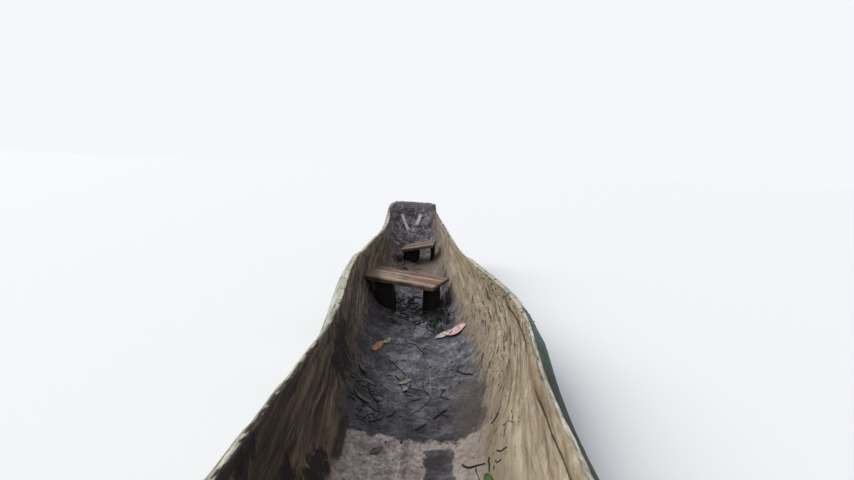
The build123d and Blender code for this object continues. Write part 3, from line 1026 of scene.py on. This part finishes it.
twigLook = {
    "paths": [  # corners along the floor, thickness
        ([(0.651, -0.079), (0.676, -0.098), (0.700, -0.121)], 0.0034),
        ([(0.676, -0.098), (0.718, -0.090)], 0.0024),
        ([(0.676, -0.098), (0.652, -0.122)], 0.0024),
        ([(1.111, 0.081), (1.005, 0.020), (0.951, 0.023)], 0.0022),
        ([(0.980, 0.056), (0.900, 0.030), (0.828, 0.016), (0.808, -0.008)], 0.0020),
        ([(0.930, -0.042), (0.860, -0.050), (0.792, -0.075)], 0.0020),
        ([(0.362, -0.147), (0.338, -0.165), (0.330, -0.183), (0.323, -0.202)], 0.0030),
        ([(0.326, -0.181), (0.301, -0.177), (0.257, -0.185)], 0.0017),
        ([(0.338, -0.213), (0.300, -0.210), (0.269, -0.207)], 0.0024),
        ([(0.286, -0.221), (0.264, -0.215)], 0.0016),
        ([(0.346, -0.233), (0.326, -0.242), (0.304, -0.254)], 0.0022),
        ([(0.290, -0.227), (0.286, -0.237)], 0.0018),
        ([(0.521, -0.258), (0.511, -0.247), (0.499, -0.234)], 0.0022),
        ([(0.437, -0.259), (0.358, -0.275)], 0.0011),
        ([(0.416, -0.260), (0.369, -0.255)], 0.0010),
        ([(0.60, 0.12), (0.632, 0.085), (0.66, 0.075)], 0.0030),
        ([(0.74, 0.10), (0.79, 0.135), (0.845, 0.14)], 0.0030),
        ([(0.58, -0.02), (0.618, -0.055)], 0.0026),
        ([(1.20, -0.05), (1.29, -0.02), (1.33, 0.03)], 0.0024),
        ([(1.42, -0.10), (1.50, -0.06), (1.57, -0.07)], 0.0028),
        ([(0.885, 0.005), (0.865, -0.040), (0.810, -0.070), (0.760, -0.060)], 0.0014),
        ([(0.760, -0.060), (0.710, -0.035), (0.690, -0.005)], 0.0013),
        ([(0.930, 0.040), (0.875, 0.030), (0.835, -0.015), (0.870, -0.030)], 0.0012),
        ([(0.86, -0.12), (0.80, -0.10), (0.775, -0.13)], 0.0022),
        ([(2.05, 0.06), (2.12, 0.02), (2.20, 0.03)], 0.0030),
        ([(2.42, 0.10), (2.47, 0.05), (2.45, 0.0)], 0.0030),
        ([(2.02, -0.08), (2.10, -0.05)], 0.0034),
        ([(-0.35, 0.09), (-0.25, 0.05), (-0.21, -0.02)], 0.0032),
        ([(-1.72, 0.05), (-1.62, 0.01), (-1.58, -0.04)], 0.0030),
    ],
    "wallTwig": [(0.983, -0.161, -0.02), (0.935, -0.185, -0.01), (0.891, -0.205, 0.009)],
    "wallThick": 0.0026, "wallLift": 0.002,
    "step": 0.009,
    "kink": 0.006,
    "lift": 0.7,  # of the thickness
    "taper": 0.55, "knots": 0.25,
    "seed": 11,
}


def buildTwigs():
    look = twigLook
    rng = Random(look["seed"])
    parts = []
    for corners, thickness in look["paths"]:
        shift = rng.uniform(0, 50)
        spots = []
        for x, y in evenPoints(corners, look["step"]):
            bend = look["kink"] * noiseAt(x * 30, y * 30, shift)
            spot, facing = onHull(x + bend, y - bend)
            spots.append(spot + facing * thickness * look["lift"])
        shares = [1 - look["taper"] * i / len(spots) for i in range(len(spots))]
        knots = [1 + look["knots"] * noiseAt(i * 0.7, shift, 0) for i in range(len(spots))]
        parts.append(tube(spots, [thickness * share * knot for share, knot in zip(shares, knots)]))
    found = [onHull(*corner) for corner in evenPoints(look["wallTwig"], look["step"])]
    spots = [spot + facing * look["wallLift"] for spot, facing in found]
    parts.append(tube(spots, [look["wallThick"]] * len(spots)))
    return joined("twigs", parts)


def litterFinish(name, dark, light, rough=0.75):
    f = Finish(name)
    blotch = f.noise(f.place(), 70, 5, 0.65)
    return f.lay(f.tones(blotch, (0.38, dark), (0.6, light)), rough, blotch, 0.001, 0.3)


addPiece("twigs", buildTwigs(), litterFinish("twig_bark", "120f10", "3a302b"), None)


leafLook = {
    "leaves": [  # from, to, half width, how far the tip curls up, tone
        ((1.150, 0.154), (1.262, 0.118), 0.0125, 0.012, "orange"),
        ((1.270, 0.116), (1.318, 0.090), 0.0115, 0.010, "lime"),
        ((0.275, -0.196), (0.215, -0.203), 0.0075, 0.010, "green"),
        ((0.424, 0.101), (0.463, 0.068), 0.010, 0.006, "grey"),
        ((0.743, 0.176), (0.708, 0.118), 0.013, 0.008, "grey"),
        ((0.654, 0.067), (0.705, 0.051), 0.011, 0.010, "grey"),
        ((0.956, 0.181), (0.913, 0.152), 0.012, 0.010, "grey"),
        ((1.350, -0.103), (1.400, -0.165), 0.024, 0.004, "bleached"),
        ((1.385, -0.135), (1.350, -0.222), 0.034, 0.001, "faded"),
        ((0.905, 0.045), (0.935, -0.005), 0.009, 0.007, "straw"),
        ((0.885, 0.010), (0.840, 0.022), 0.007, 0.005, "straw"),
        ((0.80, -0.04), (0.775, 0.0), 0.007, 0.004, "grey"),
        ((1.52, 0.05), (1.60, 0.09), 0.016, 0.010, "grey"),
        ((-0.62, -0.08), (-0.55, -0.02), 0.015, 0.012, "orange"),
        ((-1.95, 0.06), (-1.88, 0.02), 0.015, 0.010, "grey"),
    ],
    "steps": 12, "across": 6, "thick": 0.0007, "lift": 0.0022,
    "frill": 0.12, "cup": 0.16, "crinkle": 0.003,
    "seedStep": 3.0,
    "tones": {
        "orange": ("7a4a26", "c08a5a"), "lime": ("6f7a35", "b3b56a"), "green": ("1f3018", "4a6330"),
        "grey": ("2c2625", "5a4f48"), "faded": ("bd8587", "edccc6"), "bleached": ("8f8a80", "e4e0d8"),
        "straw": ("857f62", "bdb694"),
    },
}


def leafPoint(start, end, half, curl, seed, share, off):  # at a share of the length, off to one side
    look = leafLook
    direction = Vector((end[0] - start[0], end[1] - start[1], 0))
    side = Vector((-direction.y, direction.x, 0)).normalized()
    wide = half * (sin(pi * min(1, share * 0.94 + 0.03)) ** 0.7)
    frill = look["frill"] * noiseAt(share * 6, off * 2, seed)
    x = start[0] + direction.x * share + side.x * wide * (off + frill)
    y = start[1] + direction.y * share + side.y * wide * (off + frill)
    rise = curl * share ** 2 + look["cup"] * half * abs(off) * (1 - share * 0.4)
    rise += look["crinkle"] * noiseAt(x * 40, y * 40, seed)
    return onHull(x, y)[0] + Vector((0, 0, max(0.0, rise)))


def leaf(start, end, half, curl, seed):
    look = leafLook
    steps, across = look["steps"], look["across"]
    sheet = [
        leafPoint(start, end, half, curl, seed, i / steps, 2 * k / across - 1)
        for i in range(steps + 1) for k in range(across + 1)
    ]
    wide, count = across + 1, len(sheet)
    faces = []
    for i in range(steps):
        for k in range(across):
            a = i * wide + k
            faces.append((a, a + 1, a + wide + 1, a + wide))
            faces.append(tuple(count + j for j in (a, a + wide, a + wide + 1, a + 1)))
    rim = list(range(wide)) + [i * wide + wide - 1 for i in range(1, steps + 1)]
    rim += [steps * wide + k for k in range(wide - 2, -1, -1)] + [i * wide for i in range(steps - 1, 0, -1)]
    faces += [(a, a + count, b + count, b) for a, b in zip(rim, rim[1:] + rim[:1])]
    lifts = [Vector((0, 0, lift)) for lift in (look["lift"], look["lift"] + look["thick"])]
    return [point + lift for lift in lifts for point in sheet], faces


for tone, (dark, light) in leafLook["tones"].items():
    rows = enumerate(leafLook["leaves"])
    chosen = [leaf(*row[:4], leafLook["seedStep"] * i) for i, row in rows if row[4] == tone]
    addPiece(tone + "_leaves", joined(tone, chosen), litterFinish(tone + "_leaf", dark, light, 0.6), None)
print("twigs and leaves laid")


# Geometry node trees for what repeats

class Recipe:
    def __init__(self, name, **inputs):
        self.tree = bpy.data.node_groups.new(name, "GeometryNodeTree")
        face = self.tree.interface
        face.new_socket("Geometry", in_out="INPUT", socket_type="NodeSocketGeometry")
        for label, kind in inputs.items():
            face.new_socket(label, in_out="INPUT", socket_type="NodeSocket" + kind)
        face.new_socket("Geometry", in_out="OUTPUT", socket_type="NodeSocketGeometry")
        self.given = self.node("NodeGroupInput").node.outputs

    def node(self, kind, settings=None, sockets=(), output=0):
        made = self.tree.nodes.new(kind)
        for name, value in (settings or {}).items():
            setattr(made, name, value)
        named = sockets.items() if isinstance(sockets, dict) else enumerate(sockets)
        for key, value in named:
            if isinstance(value, bpy.types.NodeSocket):
                self.tree.links.new(value, made.inputs[key])
            else:
                made.inputs[key].default_value = value
        return made.outputs[output] if len(made.outputs) else None

    def end(self, geometry):
        self.node("NodeGroupOutput", {}, [geometry])
        return self


def placedShapes(recipe, points, facing):  # copies of one shape, each with its own size and turn
    given = recipe.given

    def drawn(low, high):
        sockets = {"Min": low, "Max": high, "Seed": given["Seed"]}
        return recipe.node("FunctionNodeRandomValue", {"data_type": "FLOAT"}, sockets, 1)

    upright = recipe.node("FunctionNodeAlignRotationToVector", {"axis": "Z"}, {"Vector": facing})
    spin, size = drawn(0.0, 2 * pi), drawn(given["Smallest"], given["Largest"])
    turned = recipe.node("FunctionNodeAxisAngleToRotation", {}, {"Axis": (0, 0, 1), "Angle": spin})
    rotation = recipe.node("FunctionNodeRotateRotation", {"rotation_space": "LOCAL"}, [upright, turned])
    shape = recipe.node("GeometryNodeObjectInfo", {}, {"Object": given["Shape"]}, "Geometry")
    copies = recipe.node("GeometryNodeInstanceOnPoints", {},
                         {"Points": points, "Instance": shape, "Rotation": rotation, "Scale": size})
    solid = recipe.node("GeometryNodeRealizeInstances", {}, [copies])
    return recipe.node("GeometryNodeSetMaterial", {}, {"Geometry": solid, "Material": given["Finish"]})


shapeInputs = {
    "Shape": "Object", "Finish": "Material", "Seed": "Int", "Smallest": "Float", "Largest": "Float",
}


def pinnedRecipe():  # a shape at every vertex, along the vertex's stored facing
    recipe = Recipe("pinned", **shapeInputs)
    points = recipe.node("GeometryNodeMeshToPoints", {}, {"Mesh": recipe.given["Geometry"]})
    facing = recipe.node("GeometryNodeInputNamedAttribute", {"data_type": "FLOAT_VECTOR"}, {"Name": "facing"})
    return recipe.end(placedShapes(recipe, points, facing))


def strewnRecipe():  # a shape at random places over the faces
    recipe = Recipe("strewn", Density="Float", **shapeInputs)
    given = recipe.given
    sockets = {"Mesh": given["Geometry"], "Density": given["Density"], "Seed": given["Seed"]}
    points = recipe.node("GeometryNodeDistributePointsOnFaces", {}, sockets)
    facing = points.node.outputs["Normal"]
    return recipe.end(placedShapes(recipe, points, facing))


def grown(name, base, recipe, **values):
    holder = shown("holder", base)
    modifier = holder.modifiers.new("recipe", "NODES")
    modifier.node_group = recipe.tree
    for item in recipe.tree.interface.items_tree:
        if item.in_out == "INPUT" and item.name in values:
            modifier[item.identifier] = values[item.name]
    made = worked(holder)
    made.name = name
    bpy.data.objects.remove(values["Shape"])
    return made


pinned = pinnedRecipe()
strewn = strewnRecipe()


# Nails: through the planks into the legs, along the cover strips and at the battens' ends

nailLook = {
    "radius": 0.0036, "height": 0.0011, "sides": 10,
    "rings": [(1.0, -0.6), (1.0, 0.45), (0.8, 0.9)],  # shares of the radius and of the height
    "stripStep": 0.145, "stripStart": 0.03, "stripEnd": 0.02, "stripReach": 0.006,
    "castFrom": 0.6, "clear": 0.02,
    "planks": {  # nails on each plank, as shares of its length and width from the middle
        "near_bench_seat": [(0.52, -0.45), (0.50, 0.35), (-0.66, -0.40), (-0.64, 0.42)],
        "fore_bench_seat": [(0.45, -0.3), (0.42, 0.3), (-0.80, 0.1)],
        "passenger_bench_seat": [(0.62, -0.4), (0.60, 0.4), (-0.61, -0.4), (-0.63, 0.38)],
        "stern_bench_seat": [(0.60, -0.4), (0.58, 0.4), (-0.59, -0.38), (-0.6, 0.4)],
        "bow_batten_port": [(0.84, 0.0), (-0.86, 0.1), (0.0, -0.1)],
        "bow_batten_starboard": [(0.82, 0.0), (-0.84, 0.0)],
    },
}


def nailShape():
    n, points = nailLook["sides"], []
    for share, up in nailLook["rings"]:
        reach = share * nailLook["radius"]
        angles = [2 * pi * k / n for k in range(n)]
        points += [(reach * cos(angle), reach * sin(angle), up * nailLook["height"]) for angle in angles]
    quads, at, _ = quadsBetween(len(nailLook["rings"]), n)
    return shown("nailHead", asMesh("nailHead", points, quads + [at[0][::-1], at[-1]]))


def plankNails(node, places):  # where the nails stand on a plank, and which way they face
    look = timberLook[node]
    mesh = scene.objects["worn_" + node].data
    surface = surfaceOf(mesh)
    axes = timberFrame(look)
    grain = look["grain"]
    points = rowsOf(mesh.vertices, "co")
    middle = points.mean(0)
    local = (points - middle) @ axes
    half = (local.max(0) - local.min(0)) / 2
    up = Vector(axes[:, 2])
    spots = []
    for lengthShare, widthShare in places:
        spot = (local.max(0) + local.min(0)) / 2
        spot[grain] += half[grain] * lengthShare
        spot[1 - grain] += half[1 - grain] * widthShare
        spot[2] = local.max(0)[2] + nailLook["clear"]
        hit = surface.ray_cast(Vector(middle + axes @ spot), -up)[0]
        if hit:
            spots.append((hit, up))
    return spots


def stripNails(name):
    look, up = nailLook, Vector((0, 0, 1))
    mesh = scene.objects[name].data
    surface = surfaceOf(mesh)
    points = rowsOf(mesh.vertices, "co")
    spots = []
    x = points[:, 0].min() + look["stripStart"]
    while x < points[:, 0].max() - look["stripEnd"]:
        beside = points[abs(points[:, 0] - x) < look["stripReach"]]
        hit = surface.ray_cast(Vector((x, beside[:, 1].mean(), look["castFrom"])), -up)[0]
        if hit:
            spots.append((hit, up))
        x += look["stripStep"]
    return spots


def buildNails():
    spots = [spot for node, places in nailLook["planks"].items() for spot in plankNails(node, places)]
    for name in ("frayed_gunwale_strip_port", "frayed_gunwale_strip_starboard"):
        spots += stripNails(name)
    base = bpy.data.meshes.new("nailSpots")
    base.from_pydata([spot for spot, _ in spots], [], [])
    store(base, "facing", [way for _, way in spots])
    rust = litterFinish("nail_rust", "1d1512", "5a3b2a", 0.55)
    mesh = grown("nails", base, pinned, Shape=nailShape(), Finish=rust, Seed=4, Smallest=0.85, Largest=1.15)
    addPiece("nails", mesh, rust, None)


buildNails()
print("nails driven")


# Crumbs of bark and mud, moss on the gunwale and weeds under the bench

# Where it lies. Columns: x from and to, y from and to, z from and to, least upward facing, density,
# smallest and largest size, seed
strewLook = {
    "wetCrumbs": [(0.50, 1.75, -0.19, 0.19, -0.2, 0.10, 0.5, 420, (0.5, 1.5), 3),
                  (0.56, 0.90, 0.09, 0.19, -0.2, 0.02, 0.3, 1500, (0.7, 2.4), 4),
                  (1.52, 1.90, -0.06, 0.10, -0.2, 0.10, 0.3, 2300, (0.8, 3.0), 6),
                  (2.20, 2.48, -0.04, 0.16, -0.2, 0.20, 0.3, 1500, (0.7, 2.2), 8)],
    "dryCrumbs": [(-1.0, 0.52, -0.2, 0.2, -0.2, 0.05, 0.5, 90, (0.4, 1.1), 5),
                  (0.3, 1.4, -0.30, -0.18, -0.1, 0.16, 0.1, 160, (0.4, 1.0), 7),
                  (1.9, 3.0, -0.14, 0.14, 0.0, 0.36, 0.3, 220, (0.4, 1.2), 9)],
    "moss": [(0.98, 1.50, -0.37, -0.27, 0.236, 0.30, -0.2, 2600, (0.5, 1.2), 13),
             (0.35, 0.98, -0.40, -0.31, 0.222, 0.30, 0.1, 700, (0.4, 0.9), 15),
             (1.05, 1.55, 0.24, 0.30, 0.235, 0.30, 0.1, 700, (0.4, 0.9), 17)],
    "weeds": [(1.47, 1.72, -0.165, -0.075, -0.2, 0.12, 0.2, 2600, (0.4, 1.0), 19),
              (1.38, 1.60, -0.150, -0.100, -0.2, 0.12, 0.2, 1800, (0.35, 0.8), 25),
              (1.66, 1.86, -0.180, -0.130, -0.2, 0.12, 0.2, 1500, (0.4, 0.9), 27),
              (1.73, 1.90, 0.0, 0.15, -0.2, 0.12, 0.2, 700, (0.5, 1.1), 21),
              (2.36, 2.50, 0.02, 0.125, -0.2, 0.25, 0.2, 1300, (0.5, 1.1), 23)],
}


def patch(row):  # the hull's faces in a region
    x0, x1, y0, y1, z0, z1, up = row[:7]
    chosen = []
    for face in hull.data.polygons:
        x, y, z = face.center
        if x0 < x < x1 and y0 < y < y1 and z0 < z < z1 and face.normal.z > up:
            chosen.append(tuple(face.vertices))
    used = sorted({v for face in chosen for v in face})
    place = {v: i for i, v in enumerate(used)}
    points = [tuple(hull.data.vertices[v].co) for v in used]
    return asMesh("patch", points, [tuple(place[v] for v in face) for face in chosen])


crumbLook = {"half": (0.0075, 0.0032, 0.0016), "vary": (0.75, 1.2), "seed": 2}


def crumbShape():
    rng, half = Random(crumbLook["seed"]), crumbLook["half"]
    shape = bmesh.new()
    bmesh.ops.create_icosphere(shape, subdivisions=1, radius=1)
    for v in shape.verts:
        v.co = Vector([v.co[k] * half[k] for k in range(3)]) * rng.uniform(*crumbLook["vary"])
    mesh = bpy.data.meshes.new("crumb")
    shape.to_mesh(mesh)
    shape.free()
    return shown("crumb", mesh)


tuftLook = {
    "moss": {"blades": 5, "length": 0.0085, "wide": 0.0011, "lean": 0.9, "seed": 6},
    "weeds": {"blades": 5, "length": 0.032, "wide": 0.0016, "lean": 0.9, "seed": 8},
}
bladeFaces = (0, 1, 4, 3), (1, 2, 5, 4), (2, 0, 3, 5), (3, 4, 6), (4, 5, 6), (5, 3, 6), (0, 2, 1)


def tuftShape(name):  # thin closed blades from one root
    look = tuftLook[name]
    rng = Random(look["seed"])
    points, faces = [], []
    for i in range(look["blades"]):
        angle = 2 * pi * (i + rng.random() * 0.7) / look["blades"]
        tip = look["length"] * rng.uniform(0.6, 1.0)
        out = Vector((cos(angle), sin(angle), 0))
        side = Vector((-out.y, out.x, 0)) * look["wide"]
        back = out * look["wide"] * -0.8
        middle = out * tip * look["lean"] * 0.35 + Vector((0, 0, tip * 0.6))
        end = out * tip * look["lean"] + Vector((0, 0, tip))
        faces += [tuple(len(points) + k for k in face) for face in bladeFaces]
        points += [-side, side, back, middle - side * 0.8, middle + side * 0.8, middle + back * 0.8, end]
    return shown(name, asMesh(name, points, faces))


def strewOver(name, finish):
    whole = bmesh.new()
    for row in strewLook[name]:
        density, (smallest, largest), seed = row[7:]
        shape = tuftShape(name) if name in tuftLook else crumbShape()
        whole.from_mesh(grown(name, patch(row), strewn, Shape=shape, Finish=finish, Seed=seed,
                              Density=float(density), Smallest=smallest, Largest=largest))
    merged = bpy.data.meshes.new(name)
    whole.to_mesh(merged)
    whole.free()
    merged.polygons.foreach_set("use_smooth", [True] * len(merged.polygons))
    addPiece(name, merged, finish, None)
    print(name, len(merged.polygons), "faces")


strewOver("wetCrumbs", litterFinish("wet_crumb", "070607", "1d1918", 0.45))
strewOver("dryCrumbs", litterFinish("dry_crumb", "2a2320", "5d4f44", 0.85))
strewOver("moss", litterFinish("moss", "4a5530", "93986a", 0.9))
# the weeds' near-black green is partly painted shade from the benches over them
strewOver("weeds", litterFinish("weeds", "0d120a", "38432a", 0.7))


# The waterline floor, open where the hull goes through it

stageLook = {
    "half": 40.0,
    "inset": 0.025,  # how far the floor reaches into the hull
    "fromEnds": 0.3, "rows": 120, "tip": 0.01,
    "colour": "f7f6f5",
    "light": "e4e9f2", "strength": 0.62, "backdrop": "f5f8fb",
    "sunFrom": (0.35, 0.75, 0.75), "sunEnergy": 2.2, "sunAngle": 50,
}


def waterlineEdges(x):  # where the hull's outside meets the waterline, to starboard and to port
    outside, _ = outline(fan, x)
    below = outside[:, 1] < 0
    if not below.any():
        return None
    first, last = np.flatnonzero(below)[[0, -1]]
    edges = []
    for a, b in ((first - 1, first), (last + 1, last)):
        share = outside[a, 1] / (outside[a, 1] - outside[b, 1])
        edges.append(outside[a, 0] + (outside[b, 0] - outside[a, 0]) * share)
    return edges


def buildWaterline():
    look = stageLook
    run = []
    for x in np.linspace(cadBox[0].x + look["fromEnds"], cadBox[1].x - look["fromEnds"], look["rows"]):
        edges = waterlineEdges(float(x) + nudge)
        if edges and edges[1] - edges[0] > 3 * look["inset"]:
            run.append((x, edges[0] + look["inset"], edges[1] - look["inset"]))
    run = [(run[0][0] - look["tip"], 0, 0)] + run + [(run[-1][0] + look["tip"], 0, 0)]
    far = look["half"]
    points = [(x, y, 0) for x, starboard, port in run for y in (-far, starboard, port, far)]
    faces = []
    for a in range(0, 4 * (len(run) - 1), 4):
        faces += [(a, a + 4, a + 5, a + 1), (a + 2, a + 6, a + 7, a + 3)]
    start, last = len(points), 4 * (len(run) - 1)
    points += [(x, y, 0) for x in (-far, far) for y in (-far, far)]
    faces += [(start, 0, 3, start + 1), (last, start + 2, start + 3, last + 3)]
    return asMesh("calmFloor", points, faces, False)


def studioLight():  # pale where the camera sees it, itself, in a gloss or through a clear thing
    f = Finish("studio", world=True)
    camera = f.node("LightPath", output="Is Camera Ray")
    glossy = f.node("LightPath", output="Is Glossy Ray")
    clear = f.node("LightPath", output="Is Transmission Ray")
    soft = f.node("Background", {}, [paint(stageLook["light"]), stageLook["strength"]])
    pale = f.node("Background", {}, [paint(stageLook["backdrop"]), 1.0])
    return f.close(f.node("MixShader", {}, [camera.orMore(glossy).orMore(clear), soft, pale]))


def lightScene():
    look = stageLook
    floor = shown("calm_floor", buildWaterline())
    floor.data.materials.append(Finish("calmFloor").lay(paint(look["colour"]), 0.9))
    scene.world = studioLight()
    sun = shown("softKey", bpy.data.lights.new("softKey", "SUN"))
    sun.data.energy = look["sunEnergy"]
    sun.data.angle = radians(look["sunAngle"])
    sun.matrix_world = Vector(look["sunFrom"]).to_track_quat("Z", "Y").to_matrix().to_4x4()
    scene.view_settings.view_transform = "Standard"


lightScene()
print("floor and light")
